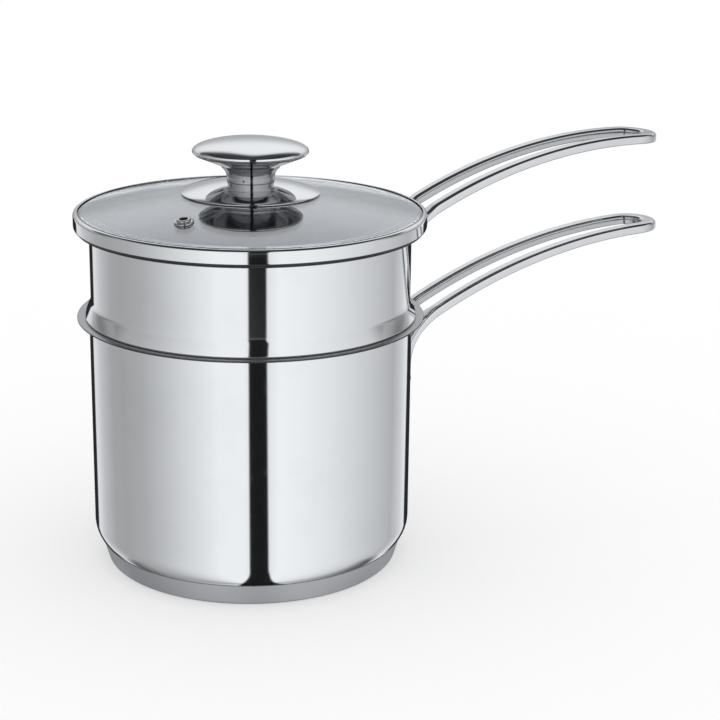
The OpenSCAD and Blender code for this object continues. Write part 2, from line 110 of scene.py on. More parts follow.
class Section:
    """Section of a turned piece, drawn in the plane of +X and +Z and then spun round +Z."""

    SPIN_STEPS = 240
    LARGEST_TURN = 6.0
    LONGEST_CHORD = 2.5
    SUPPORT = 0.25

    def __init__(
        self, stretches: Sequence[Stretch], closed: bool = False, steps: int = SPIN_STEPS
    ) -> None:
        """Draws the section.

        Args:
            stretches: Bends and corners in order, joined by straight lines.
            closed: Whether the last one is joined to the first, which makes a solid piece.
            steps: Number of steps of the spin.
        """
        self.bm = bmesh.new()
        self.closed = closed
        self.steps = steps
        self._last: bmesh.types.BMVert | None = None
        for stretch in stretches:
            if isinstance(stretch, Bend):
                self._bend(stretch)
            else:
                self._line(Vector((stretch.r, 0.0, stretch.z)))
        if closed:
            self.bm.verts.ensure_lookup_table()
            self.bm.edges.new((self._last, self.bm.verts[0]))
        self.bm.edges.ensure_lookup_table()
        first, second = (vert.co.copy() for vert in self.bm.edges[0].verts)
        self._probe = (first + second) / 2
        self._outwards = Vector((second.z - first.z, 0.0, first.x - second.x))

    def _line(self, point: Vector) -> None:
        """Draws a straight line to a point, unless the section is there already."""
        if self._last is not None and (self._last.co - point).length < MERGED:
            return
        vert = self.bm.verts.new(point)
        if self._last is not None:
            self.bm.edges.new((self._last, vert))
        self._last = vert

    def _bend(self, bend: Bend) -> None:
        """Draws a bend, with a point close before and after it that keeps the straights beside it flat.

        Args:
            bend: The round stretch.
        """
        turn = bend.end - bend.start
        start, end = bend.at(bend.start), bend.at(bend.end)
        side = math.copysign(self.SUPPORT, turn)
        lead = Vector((start.z - bend.z, 0.0, bend.r - start.x)).normalized() * side
        shortest_straight = 3 * self.SUPPORT
        if self._last is not None and (self._last.co - start).length > shortest_straight:
            self._line(start + lead)
        self._line(start)
        arc_length = math.radians(abs(turn)) * bend.radius
        steps = max(math.ceil(abs(turn) / self.LARGEST_TURN), math.ceil(arc_length / self.LONGEST_CHORD))
        spun = bmesh.ops.spin(
            self.bm,
            geom=[self._last],
            cent=(bend.r, 0.0, bend.z),
            axis=(0.0, -1.0, 0.0),
            angle=math.radians(turn),
            steps=steps,
            use_merge=False,
        )
        self._last = next(item for item in spun["geom_last"] if isinstance(item, bmesh.types.BMVert))
        self._last.co = end

    def turned(self) -> bmesh.types.BMesh:
        """Spins the section round +Z.

        The faces of an open section look to the right of its path, so that a sheet's thickness goes
        to the left.

        Returns:
            The turned mesh in millimetres, with its pole closed and its faces outwards.
        """
        bmesh.ops.spin(
            self.bm,
            geom=self.bm.verts[:] + self.bm.edges[:],
            cent=(0.0, 0.0, 0.0),
            axis=(0.0, 0.0, 1.0),
            angle=math.tau,
            steps=self.steps,
            use_merge=True,
        )
        bmesh.ops.remove_doubles(self.bm, verts=self.bm.verts, dist=MERGED)
        bmesh.ops.recalc_face_normals(self.bm, faces=self.bm.faces)
        if not self.closed:
            near = min(self.bm.faces, key=lambda face: (face.calc_center_median() - self._probe).length)
            if near.normal.dot(self._outwards) < 0:
                bmesh.ops.reverse_faces(self.bm, faces=self.bm.faces)
        return self.bm


class Piece:
    """A modelled piece: a mesh object that takes the place of one node and rides on its body."""

    EASE_STEPS = 3

    def __init__(self, name: str, bm: bmesh.types.BMesh, place: Matrix | None = None) -> None:
        """Makes the object from a bmesh in millimetres.

        Args:
            name: Name of the piece.
            bm: The mesh, which is freed.
            place: Where the mesh goes, in millimetres.
        """
        if place is not None:
            bmesh.ops.transform(bm, matrix=place, verts=bm.verts)
        bmesh.ops.scale(bm, vec=(MM, MM, MM), verts=bm.verts)
        mesh = bpy.data.meshes.new(name)
        bm.to_mesh(mesh)
        bm.free()
        mesh.shade_smooth()
        self.object = bpy.data.objects.new(name, mesh)
        bpy.context.scene.collection.objects.link(self.object)

    def sheet(
        self,
        thickness: float,
        inner: bpy.types.Material | None = None,
        edge: bpy.types.Material | None = None,
    ) -> "Piece":
        """Gives a shell its thickness, inwards from the modelled face.

        Args:
            thickness: Thickness of the sheet in millimetres.
            inner: Finish of the inner side, where it has its own.
            edge: Finish of the sheet's cut edge, where the inner side has its own too.

        Returns:
            The piece.
        """
        wall = self.object.modifiers.new("Sheet", "SOLIDIFY")
        wall.thickness = thickness * MM
        wall.offset = -1.0
        wall.use_even_offset = True
        if inner is not None:
            self.object.data.materials.append(None)
            self.object.data.materials.append(inner)
            wall.material_offset = 1
        if edge is not None:
            self.object.data.materials.append(edge)
            wall.material_offset_rim = len(self.object.data.materials) - 1
        return self

    def eased(self, width: float, angle: float = 40.0) -> "Piece":
        """Rounds the sharp edges.

        Args:
            width: Width of the rounding in millimetres.
            angle: Least angle of an edge that is rounded, in degrees.

        Returns:
            The piece.
        """
        ease = self.object.modifiers.new("Eased edges", "BEVEL")
        ease.width = width * MM
        ease.segments = self.EASE_STEPS
        ease.limit_method = "ANGLE"
        ease.angle_limit = math.radians(angle)
        ease.use_clamp_overlap = True
        return self

    def drilled(self, cutter: bmesh.types.BMesh, place: Matrix) -> "Piece":
        """Cuts a hole through the piece.

        Args:
            cutter: Mesh of the tool in millimetres.
            place: Where the tool goes, in millimetres.

        Returns:
            The piece.
        """
        tool = Piece(f"{self.object.name}_tool", cutter, place).object
        cut = self.object.modifiers.new("Drilled", "BOOLEAN")
        cut.operation = "DIFFERENCE"
        cut.solver = "EXACT"
        cut.object = tool
        graph = bpy.context.evaluated_depsgraph_get()
        drilled = bpy.data.meshes.new_from_object(self.object.evaluated_get(graph))
        self.object.modifiers.clear()
        self.object.data = drilled
        bpy.data.objects.remove(tool)
        return self


@dataclass(frozen=True)
class Span:
    """Range of values whose two ends are soft."""

    low: float
    high: float
    soft: float


@dataclass(frozen=True)
class Grain:
    """Noise: its scale per metre, its octaves and the weight of the finer ones."""

    scale: float
    detail: float = 2.0
    roughness: float = 0.5


class Signal:
    """An output of a node that can be calculated with. Each operation adds a Math node."""

    def __init__(self, graph: "Graph", socket: bpy.types.NodeSocket) -> None:
        """Wraps a socket of a graph."""
        self.graph = graph
        self.socket = socket

    def __add__(self, other: "Signal | float") -> "Signal":
        """Returns self + other."""
        return self.graph.math("ADD", self, other)

    def __radd__(self, other: float) -> "Signal":
        """Returns other + self."""
        return self.graph.math("ADD", other, self)

    def __sub__(self, other: "Signal | float") -> "Signal":
        """Returns self - other."""
        return self.graph.math("SUBTRACT", self, other)

    def __rsub__(self, other: float) -> "Signal":
        """Returns other - self."""
        return self.graph.math("SUBTRACT", other, self)

    def __mul__(self, other: "Signal | float") -> "Signal":
        """Returns self * other."""
        return self.graph.math("MULTIPLY", self, other)

    def __truediv__(self, other: "Signal | float") -> "Signal":
        """Returns self / other."""
        return self.graph.math("DIVIDE", self, other)

    def step(self, low: float, high: float) -> "Signal":
        """Returns a smooth step from 0 where this is low to 1 where it is high."""
        ranged = {"interpolation_type": "SMOOTHSTEP"}
        inputs = {"Value": self, "From Min": low, "From Max": high}
        return self.graph.node("ShaderNodeMapRange", ranged, inputs)

    def within(self, span: Span) -> "Signal":
        """Returns 1 where this lies in a span and 0 outside it, with the span's soft ends."""
        low, high, soft = span.low, span.high, span.soft
        return self.step(low - soft, low + soft) * (1.0 - self.step(high - soft, high + soft))


class Graph:
    """Node tree of a material or of the world."""

    def __init__(self, tree: bpy.types.NodeTree) -> None:
        """Empties a node tree and wraps it."""
        self.tree = tree
        tree.nodes.clear()

    def node(
        self,
        kind: str,
        settings: dict[str, Any] | None = None,
        inputs: dict[str | int, Any] | None = None,
        output: str | int = 0,
    ) -> Signal:
        """Adds a node.

        Args:
            kind: Its type.
            settings: Its own settings, which are set first. "stops" are the stops of a ramp.
            inputs: Values or links of its sockets, by name or by place.
            output: The socket that is returned.

        Returns:
            The chosen output.
        """
        node = self.tree.nodes.new(kind)
        for name, value in (settings or {}).items():
            if name == "stops":
                self._set_stops(node.color_ramp, value)
            else:
                setattr(node, name, value)
        for name, value in (inputs or {}).items():
            if isinstance(value, Signal):
                self.tree.links.new(value.socket, node.inputs[name])
            else:
                node.inputs[name].default_value = value
        return Signal(self, node.outputs[output] if len(node.outputs) else None)

    @staticmethod
    def _set_stops(ramp: bpy.types.ColorRamp, stops: Stops) -> None:
        """Sets the grey stops of a ramp, as pairs of place and tone."""
        while len(ramp.elements) > 1:
            ramp.elements.remove(ramp.elements[-1])
        for i, (place, tone) in enumerate(stops):
            element = ramp.elements[0] if i == 0 else ramp.elements.new(place)
            element.position = place
            element.color = (tone, tone, tone, 1.0)

    def math(self, operation: str, *values: Signal | float) -> Signal:
        """Returns the result of a Math node, whose inputs are given in order."""
        return self.node("ShaderNodeMath", {"operation": operation}, dict(enumerate(values)))

    def ramp(self, factor: Signal, stops: Stops) -> Signal:
        """Returns the tone of a ramp of grey stops, as pairs of place and tone, at a factor."""
        colour = self.node("ShaderNodeValToRGB", {"stops": stops}, {"Fac": factor})
        return self.node("ShaderNodeRGBToBW", inputs={0: colour})

    def blend(self, factor: Signal, first: RGBA, second: RGBA) -> Signal:
        """Returns a mix of two colours, the first where the factor is 0."""
        return self.node("ShaderNodeMix", {"data_type": "RGBA"}, {0: factor, 6: first, 7: second}, 2)

    def split(self, vector: Signal) -> tuple[Signal, Signal, Signal]:
        """Returns the three parts of a vector."""
        x = self.node("ShaderNodeSeparateXYZ", inputs={0: vector})
        parts = x.socket.node.outputs
        return x, Signal(self, parts[1]), Signal(self, parts[2])

    def joined(self, x: Signal | float, y: Signal | float, z: Signal | float) -> Signal:
        """Returns a vector of three parts."""
        return self.node("ShaderNodeCombineXYZ", inputs={0: x, 1: y, 2: z})

    def place(self) -> Signal:
        """Returns the point on the surface, in the object's own coordinates."""
        return self.node("ShaderNodeTexCoord", output="Object")

    def noise(self, vector: Signal, grain: Grain) -> Signal:
        """Returns a noise from 0 to 1, read at a vector."""
        inputs = {"Scale": grain.scale, "Detail": grain.detail, "Roughness": grain.roughness}
        return self.node("ShaderNodeTexNoise", inputs={"Vector": vector, **inputs})

    def bump(self, height: Signal, strength: float, distance: float) -> Signal:
        """Returns the normal over a bump of some strength, with its distance in millimetres."""
        inputs = {"Strength": strength, "Distance": distance * MM, "Height": height}
        return self.node("ShaderNodeBump", inputs=inputs)

    def lights(self) -> tuple[Signal, Signal]:
        """Returns 1 for rays that come from a mirror, and 1 for those of the camera, also through glass."""
        paths = self.node("ShaderNodeLightPath").socket.node.outputs
        seen = Signal(self, paths["Is Camera Ray"]) + Signal(self, paths["Is Transmission Ray"])
        return Signal(self, paths["Is Glossy Ray"]), seen

    def surface(self, shader: Signal) -> None:
        """Ends the graph with a shader."""
        self.node("ShaderNodeOutputMaterial", inputs={"Surface": shader})

    def principled(self, inputs: dict[str, Any]) -> None:
        """Ends the graph with a Principled shader, whose inputs are given by name."""
        self.surface(self.node("ShaderNodeBsdfPrincipled", inputs=inputs))


def paint(tint: Tint, share: float = 1.0) -> RGBA:
    """Returns an opaque colour, darkened to a share of a tint."""
    return (*(share * channel for channel in tint), 1.0)


def new_material(name: str) -> tuple[bpy.types.Material, Graph]:
    """Makes an empty material.

    Args:
        name: Its name.

    Returns:
        The material and its graph.
    """
    material = bpy.data.materials.new(name)
    material.use_nodes = True
    return material, Graph(material.node_tree)


class Lay(Enum):
    """Direction of the fine lines that polishing or brushing leaves."""

    ROUND = "round the axis"
    ALONG = "along the handles"
    NONE = "no direction"


@dataclass(frozen=True)
class Steel:
    """Stainless steel with fine lines from the polishing wheel or the brush, and faint handling marks."""

    name: str
    tint: Tint
    lay: Lay
    roughness: float
    line_gloss: float
    line_depth: float
    smudge: float
    line_width: float = 0.18

    STRETCH: ClassVar[float] = 0.012
    HEIGHT_SHARE: ClassVar[float] = 0.83
    CLOUDS: ClassVar[Grain] = Grain(26.0, 4.0, 0.6)
    CLOUD_EDGE: ClassVar[Edge] = (0.45, 0.75)
    PRINTS: ClassVar[Grain] = Grain(110.0, 3.0, 0.55)
    PRINT_EDGE: ClassVar[Edge] = (0.56, 0.78)
    DULL_SHARE: ClassVar[float] = 0.965
    LINE_RISE: ClassVar[float] = 0.02

    def _line_place(self, graph: Graph) -> Signal:
        """Returns coordinates that are squeezed along the lines, so that a noise in them is streaks."""
        stretch = self.STRETCH
        if self.lay is Lay.ALONG:
            along, across, _ = graph.split(graph.node("ShaderNodeTexCoord", output="UV"))
            return graph.joined(along * stretch, across, 0.0)
        x, y, z = graph.split(graph.place())
        if self.lay is Lay.ROUND:
            radius = graph.math("SQRT", x * x + y * y)
            return graph.joined(x * stretch, y * stretch, z * self.HEIGHT_SHARE + radius)
        return graph.joined(x, y, z)

    def material(self) -> bpy.types.Material:
        """Builds the finish.

        Returns:
            The material.
        """
        material, graph = new_material(self.name)
        place = graph.place()
        lines = graph.noise(self._line_place(graph), Grain(1 / (self.line_width * MM), 3.0, 0.65))
        clouds = graph.noise(place, self.CLOUDS)
        prints = graph.noise(place, self.PRINTS).step(*self.PRINT_EDGE)
        dull, smudges = clouds.step(*self.CLOUD_EDGE), (clouds * prints) * self.smudge
        graph.principled(
            {
                "Base Color": graph.blend(dull, paint(self.tint), paint(self.tint, self.DULL_SHARE)),
                "Metallic": 1.0,
                "Roughness": self.roughness + (lines - 0.5) * self.line_gloss + smudges,
                "Normal": graph.bump(lines, self.line_depth, self.LINE_RISE),
            }
        )
        return material


@dataclass(frozen=True)
class ClearGlass:
    """Toughened glass, a little blue, with a trace of dust."""

    name: str = "clear_glass"
    tint: Tint = (0.87, 0.925, 1.0)
    roughness: float = 0.004
    ior: float = 1.5
    coat_ior: float = 1.8
    coat_roughness: float = 0.01
    dust_gloss: float = 0.02
    wiped_gloss: float = 0.006

    DUST: ClassVar[Grain] = Grain(900.0, 3.0, 0.7)
    DUST_EDGE: ClassVar[Edge] = (0.62, 0.80)
    WIPED: ClassVar[Grain] = Grain(34.0, 3.0, 0.55)
    WIPED_EDGE: ClassVar[Edge] = (0.45, 0.75)
    WIPED_SHARE: ClassVar[float] = 0.6
    DEEPER_SHARE: ClassVar[float] = 0.985

    def material(self) -> bpy.types.Material:
        """Builds the finish.

        Returns:
            The material.
        """
        material, graph = new_material(self.name)
        place = graph.place()
        dust = graph.noise(place, self.DUST).step(*self.DUST_EDGE)
        wiped = graph.noise(place, self.WIPED).step(*self.WIPED_EDGE)
        marks = wiped * self.WIPED_SHARE + dust * (1 - self.WIPED_SHARE)
        graph.principled(
            {
                "Base Color": graph.blend(marks, paint(self.tint), paint(self.tint, self.DEEPER_SHARE)),
                "Roughness": self.roughness + dust * self.dust_gloss + wiped * self.wiped_gloss,
                "Transmission Weight": 1.0,
                "IOR": self.ior,
                "Coat Weight": 1.0,
                "Coat IOR": self.coat_ior,
                "Coat Roughness": self.coat_roughness,
            }
        )
        return material


@dataclass(frozen=True)
class Silicone:
    """Matte silicone rubber with a fine moulded grain."""

    name: str = "silicone"
    tint: Tint = (0.80, 0.80, 0.78)
    roughness: float = 0.55
    grain_gloss: float = 0.2
    grain_depth: float = 0.2
    glow: float = 0.15

    GRAIN: ClassVar[Grain] = Grain(2600.0)
    CLOUDS: ClassVar[Grain] = Grain(180.0, 3.0)
    DARKER_SHARE: ClassVar[float] = 0.93
    GRAIN_RISE: ClassVar[float] = 0.05

    def material(self) -> bpy.types.Material:
        """Builds the finish.

        Returns:
            The material.
        """
        material, graph = new_material(self.name)
        place = graph.place()
        grain = graph.noise(place, self.GRAIN)
        clouds = graph.noise(place, self.CLOUDS)
        graph.principled(
            {
                "Base Color": graph.blend(clouds, paint(self.tint), paint(self.tint, self.DARKER_SHARE)),
                "Roughness": self.roughness + (grain - 0.5) * self.grain_gloss,
                "Subsurface Weight": self.glow,
                "Subsurface Radius": (MM, MM, MM),
                "Normal": graph.bump(grain, self.grain_depth, self.GRAIN_RISE),
            }
        )
        return material


class Finishes:
    """The finishes of the object, each made once."""

    def __init__(self) -> None:
        """Builds all the finishes."""

        def steel(name: str, tint: Tint, lay: Lay, *gloss: float) -> bpy.types.Material:
            """Returns the material of a steel, with the rest of its fields in order."""
            return Steel(name, tint, lay, *gloss).material()

        turned, handle = (0.83, 0.835, 0.84), (0.70, 0.70, 0.705)
        self.turned_mirror = steel("mirror_steel_turned", turned, Lay.ROUND, 0.05, 0.03, 0.05, 0.05)
        self.handle_mirror = steel("mirror_steel_handle", handle, Lay.ALONG, 0.09, 0.04, 0.05, 0.05)
        # Darker, rougher steel for the slot's sides: painted shade inside the slot.
        self.slot_painted_shade = steel("mirror_steel_slot_painted_shade", (0.50, 0.505, 0.515), Lay.ALONG, 0.16, 0.05, 0.08, 0.06)
        self.small_mirror = steel("mirror_steel_small", (0.52, 0.52, 0.53), Lay.NONE, 0.06, 0.02, 0.05, 0.05)
        # Darker steel for the knob's neck: painted shade, for the dark reflections under the crown.
        self.neck_painted_shade = steel("mirror_steel_neck_painted_shade", (0.40, 0.40, 0.41), Lay.ROUND, 0.05, 0.02, 0.05, 0.05)
        self.satin = steel("satin_steel", (0.50, 0.505, 0.52), Lay.ROUND, 0.50, 0.16, 0.5, 0.06, 0.3)
        self.inside = steel("inside_steel", (0.48, 0.485, 0.495), Lay.ROUND, 0.34, 0.14, 0.5, 0.06, 0.3)
        # Cut edges: dark steel, partly the dull face of a sheared edge and partly painted shade of the gaps
        # beside the rims; the lid band's foot wears it as a painted shadow.
        self.cut_edge_and_shade = steel("cut_edge_and_shade_steel", (0.08, 0.08, 0.085), Lay.NONE, 0.40, 0.1, 0.3, 0.05)
        self.plain = steel("plain_steel", (0.66, 0.66, 0.67), Lay.NONE, 0.34, 0.12, 0.4, 0.08)
        self.aluminium = steel("aluminium", (0.72, 0.73, 0.75), Lay.ROUND, 0.38, 0.14, 0.5, 0.05)
        self.glass = ClearGlass().material()
        self.silicone = Silicone().material()


@dataclass
class SubAssembly:
    """Sub-assembly whose pieces ride on one body."""

    finishes: Finishes
    body: str

    def fit(
        self, piece: Piece, material: bpy.types.Material, node: str, slot: str = "polished_steel"
    ) -> None:
        """Dresses a modelled piece and puts it on the body in the place of a node.

        Args:
            piece: The piece.
            material: Its finish.
            node: Name of the node that it stands for.
            slot: The record's material slot; not used.
        """
        materials = piece.object.data.materials
        if len(materials) > 1:
            materials[0] = material
        else:
            materials.append(material)
        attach(piece.object, self.body)
        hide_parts(node)
        LOG.info("%s: %d faces, on %s", piece.object.name, len(piece.object.data.polygons), self.body)

    def dress(self, node: str, material: bpy.types.Material) -> None:
        """Gives a node that keeps its own shape a finish.

        Args:
            node: Name of the node.
            material: Its finish.
        """
        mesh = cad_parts[node].data
        mesh.materials.clear()
        mesh.materials.append(material)
        LOG.info("%s: dressed as it is", node)


@dataclass
class LowerPan(SubAssembly):
    """Saucepan with a pouring rim and a capsule base."""

    sheet: float = 0.7
    pour_rim_w: float = 6.0
    rim_bend_r: float = 1.6
    corner_r: float = 14.0
    cap_t: float = 0.6
    cap_edge_r: float = 2.0
    cap_side_angle: float = 20.0
    base_inset: float = 6.2
    sheet_ease: float = 0.22
    cap_ease: float = 0.15
    body: str = "lower_pan"
    shell: Envelope = field(default_factory=lambda: Envelope.of("lower_pan_shell"))
    cap: Envelope = field(default_factory=lambda: Envelope.of("base_cap"))

    @property
    def wall_r(self) -> float:
        """Outer radius of the wall."""
        return self.shell.reach - self.pour_rim_w

    def build(self) -> None:
        """Makes the pan's pieces."""
        finishes = self.finishes
        wall_r, floor_z = self.wall_r, self.shell.low
        rim_under = self.shell.high - self.sheet
        shell = Section(
            [
                Point(0.0, floor_z),
                Bend(wall_r - self.corner_r, floor_z + self.corner_r, self.corner_r, -90, 0),
                Bend(wall_r + self.rim_bend_r, rim_under - self.rim_bend_r, self.rim_bend_r, 180, 90),
                Point(self.shell.reach, rim_under),
            ]
        ).turned()
        pan = Piece("pan_shell", shell).sheet(self.sheet, finishes.inside, finishes.cut_edge_and_shade)
        self.fit(pan.eased(self.sheet_ease), finishes.turned_mirror, "lower_pan_shell")

        edge = self.cap_edge_r
        cap = Section(
            [
                Point(0.0, self.cap.low),
                Bend(wall_r - self.base_inset - edge, edge, edge, -90, -self.cap_side_angle),
                Point(self.cap.reach, self.cap.high),
            ]
        ).turned()
        base = Piece("base_cap_shell", cap).sheet(self.cap_t, finishes.satin, finishes.cut_edge_and_shade)
        self.fit(base.eased(self.cap_ease), finishes.satin, "base_cap", "satin_steel")
        self.dress("base_core", finishes.aluminium)
        self.dress("lower_handle_welds", finishes.plain)


@dataclass
class InsertPan(SubAssembly):
    """Shallow pan whose pressed bead rests on the lower pan's rim."""

    sheet: float = 0.7
    rim_w: float = 6.2
    rim_bend_r: float = 1.6
    wall_step: float = 0.9
    bead_out: float = 2.3
    bead_turn_r: float = 1.0
    flare_h: float = 7.5
    flare_angle: float = 18.0
    flare_bend_r: float = 6.0
    flare_bend_angle: float = 25.0
    corner_r: float = 12.0
    cup_step: float = 1.0
    depth: float = 65.05
    sheet_ease: float = 0.22
    body: str = "insert_pan"
    shell: Envelope = field(default_factory=lambda: Envelope.of("insert_pan_shell"))

    @property
    def wall_r(self) -> float:
        """Outer radius of the wall above the bead."""
        return self.shell.reach - self.rim_w

    def build(self) -> None:
        """Makes the pan's pieces."""
        finishes = self.finishes
        wall_r, floor_z = self.wall_r, self.shell.low
        cup_r, seat_z = wall_r - self.cup_step, floor_z + self.depth
        rim_under = self.shell.high - self.sheet
        bead_c = wall_r + self.wall_step + self.bead_out - self.bead_turn_r
        bend_angle = math.radians(self.flare_bend_angle)
        bend_rise = self.flare_bend_r * (math.sin(bend_angle) + math.cos(bend_angle) - 1)
        flare_top = seat_z + self.flare_h + bend_rise
        flare_c = wall_r + self.flare_bend_r
        shell = Section(
            [
                Point(0.0, floor_z),
                Bend(cup_r - self.corner_r, floor_z + self.corner_r, self.corner_r, -90, 0),
                Bend(cup_r + self.rim_bend_r, seat_z - self.rim_bend_r, self.rim_bend_r, 180, 90),
                Bend(bead_c, seat_z + self.bead_turn_r, self.bead_turn_r, -90, self.flare_angle),
                Bend(flare_c, flare_top, self.flare_bend_r, 180 + self.flare_bend_angle, 180),
                Bend(wall_r + self.rim_bend_r, rim_under - self.rim_bend_r, self.rim_bend_r, 180, 90),
                Point(self.shell.reach, rim_under),
            ]
        ).turned()
        pan = Piece("insert_shell", shell).sheet(self.sheet, finishes.inside, finishes.cut_edge_and_shade)
        self.fit(pan.eased(self.sheet_ease), finishes.turned_mirror, "insert_pan_shell")
        self.dress("upper_handle_welds", finishes.plain)


@dataclass
class LoopHandle(SubAssembly):
    """Long loop handle: a flat bar with a slot, modelled flat and then bent to its curve.

    In the flat, x runs along the bar's outer face from the foot of its plate, y across it and z
    through its thickness.
    """

    name: str
    node: str
    body: str
    own_wall_r: float
    plate_out: float
    plate_w: float
    plate_h: float
    arm_r: float
    arm_angle: float
    width: float = 30.0
    rail_w: float = 7.0
    tip_w: float = 8.0
    rail_t: float = 4.9
    bend_r: float = 29.0
    neck_l: float = 2.0
    widen_l: float = 9.0
    slot_start: float = 10.0
    root_share: float = 0.45
    slot_side_share: float = 0.25
    upper_edge_r: float = 1.9
    lower_edge_r: float = 0.9
    plate_edge_r: float = 3.0
    edge_steps: int = 5
    weld_gap: float = 0.15
    end_cells: int = 12
    side_cells: int = 90
    cross_cells: int = 3
    plate_rows: int = 10

    def __post_init__(self) -> None:
        """Works out the curve of the outer face from the construction model's box."""
        box = Envelope.of(self.node)
        self.reach, self.foot_z = box.reach, box.low
        self.face_r = self.own_wall_r + self.plate_out
        self.slot_r = self.width / 2 - self.rail_w
        self.plate_t = self.face_r - math.sqrt(self.own_wall_r**2 - (self.plate_w / 2) ** 2)
        a = math.radians(self.arm_angle)
        self.bend_c = Vector((self.face_r + self.bend_r, self.foot_z + self.plate_h))
        self.arm_c = self.bend_c + (self.arm_r - self.bend_r) * Vector((math.sin(a), -math.cos(a)))
        self.bend_l = math.radians(90.0 - self.arm_angle) * self.bend_r

    def along(self, x: float) -> float:
        """Finds how far along the bar its outer face reaches a distance from the axis.

        Args:
            x: Distance from the pans' axis.

        Returns:
            Length along the outer face from the foot of the plate.
        """
        slope = math.asin(max(-1.0, min(1.0, (self.bend_c.x - x) / self.bend_r)))
        if slope > math.radians(self.arm_angle):
            return self.plate_h + (math.pi / 2 - slope) * self.bend_r
        slope = math.asin((self.arm_c.x - x) / self.arm_r)
        return self.plate_h + self.bend_l + (math.radians(self.arm_angle) - slope) * self.arm_r

    def bent(self, flat: Vector) -> Vector:
        """Moves a point of the flat bar to its place on the bent one.

        Args:
            flat: The point in the flat.

        Returns:
            The point in the frame of the object.
        """
        along, start = flat.x, math.radians(self.arm_angle)
        if along <= self.plate_h:
            slope, face = math.pi / 2, Vector((self.face_r, self.foot_z + along))
        elif along <= self.plate_h + self.bend_l:
            slope = math.pi / 2 - (along - self.plate_h) / self.bend_r
            face = self.bend_c + self.bend_r * Vector((-math.sin(slope), math.cos(slope)))
        else:
            slope = start - (along - self.plate_h - self.bend_l) / self.arm_r
            face = self.arm_c + self.arm_r * Vector((-math.sin(slope), math.cos(slope)))
        share = min(1.0, (math.pi / 2 - slope) / (math.pi / 2 - start))
        thick = self.plate_t + (self.rail_t - self.plate_t) * share**3
        depth = flat.z / self.rail_t * thick
        x = face.x - depth * math.sin(slope)
        wall = math.sqrt((self.own_wall_r + self.weld_gap) ** 2 - flat.y**2)
        return Vector((max(x, wall), flat.y, face.y + depth * math.cos(slope)))

    def _half_width(self, along: float) -> float:
        """Returns half the bar's width near the wall, where it widens from the plate to the loop."""
        start = self.along(self.face_r + self.neck_l)
        end = self.along(self.face_r + self.neck_l + self.widen_l)
        share = min(1.0, max(0.0, (along - start) / (end - start)))
        ease = share * share * (3 - 2 * share)
        return self.plate_w / 2 + (self.width - self.plate_w) / 2 * ease

    def _loop_half(self, bm: bmesh.types.BMesh, root: float) -> None:
        """Lays a grid round half of the slot, from the root line to the middle of the tip.

        Args:
            bm: Mesh that the grid goes to.
            root: Length along the bar where the loop starts.
        """
        slot_c0, slot_c1 = self._slot_centres()
        tip_r = self.width / 2
        tip_c = self.along(self.reach) - tip_r
        cells = 2 * self.end_cells + self.side_cells
        bmesh.ops.create_grid(bm, x_segments=cells, y_segments=self.cross_cells, size=1.0)
        for vert in bm.verts:
            station = (vert.co.x + 1) / 2 * cells
            across = (vert.co.y + 1) / 2
            if station <= self.end_cells:
                share = station / self.end_cells
                a = math.radians(180 - 90 * share)
                inner = Vector((slot_c0 + self.slot_r * math.cos(a), self.slot_r * math.sin(a)))
                if share <= 0.5:
                    outer = Vector((root, 2 * share * self._half_width(root)))
                else:
                    along = root + (slot_c0 - root) * (2 * share - 1)
                    outer = Vector((along, self._half_width(along)))
            elif station <= self.end_cells + self.side_cells:
                share = (station - self.end_cells) / self.side_cells
                inner = Vector((slot_c0 + (slot_c1 - slot_c0) * share, self.slot_r))
                outer = Vector((slot_c0 + (tip_c - slot_c0) * share, tip_r))
            else:
                share = (station - self.end_cells - self.side_cells) / self.end_cells
                a = math.radians(90 - 90 * share)
                inner = Vector((slot_c1 + self.slot_r * math.cos(a), self.slot_r * math.sin(a)))
                outer = Vector((tip_c + tip_r * math.cos(a), tip_r * math.sin(a)))
            vert.co = inner.lerp(outer, across).to_3d()

    def _plate_half(self, bm: bmesh.types.BMesh, root: float) -> None:
        """Extrudes the root line of the loop back to the foot of the plate.

        Args:
            bm: Mesh of the half loop.
            root: Length along the bar where the loop starts.
        """
        rows = self.plate_rows
        edges = [e for e in bm.edges if all(abs(v.co.x - root) < MERGED for v in e.verts)]
        for row in range(1, rows + 1):
            along = root * (1 - row / rows)
            spread = self._half_width(along) / self._half_width(root * (1 - (row - 1) / rows))
            extruded = bmesh.ops.extrude_edge_only(bm, edges=edges)["geom"]
            edges = [item for item in extruded if isinstance(item, bmesh.types.BMEdge)]
            for vert in (item for item in extruded if isinstance(item, bmesh.types.BMVert)):
                vert.co = Vector((along, vert.co.y * spread, 0.0))
            edges = [e for e in edges if all(abs(v.co.x - along) < MERGED for v in e.verts)]

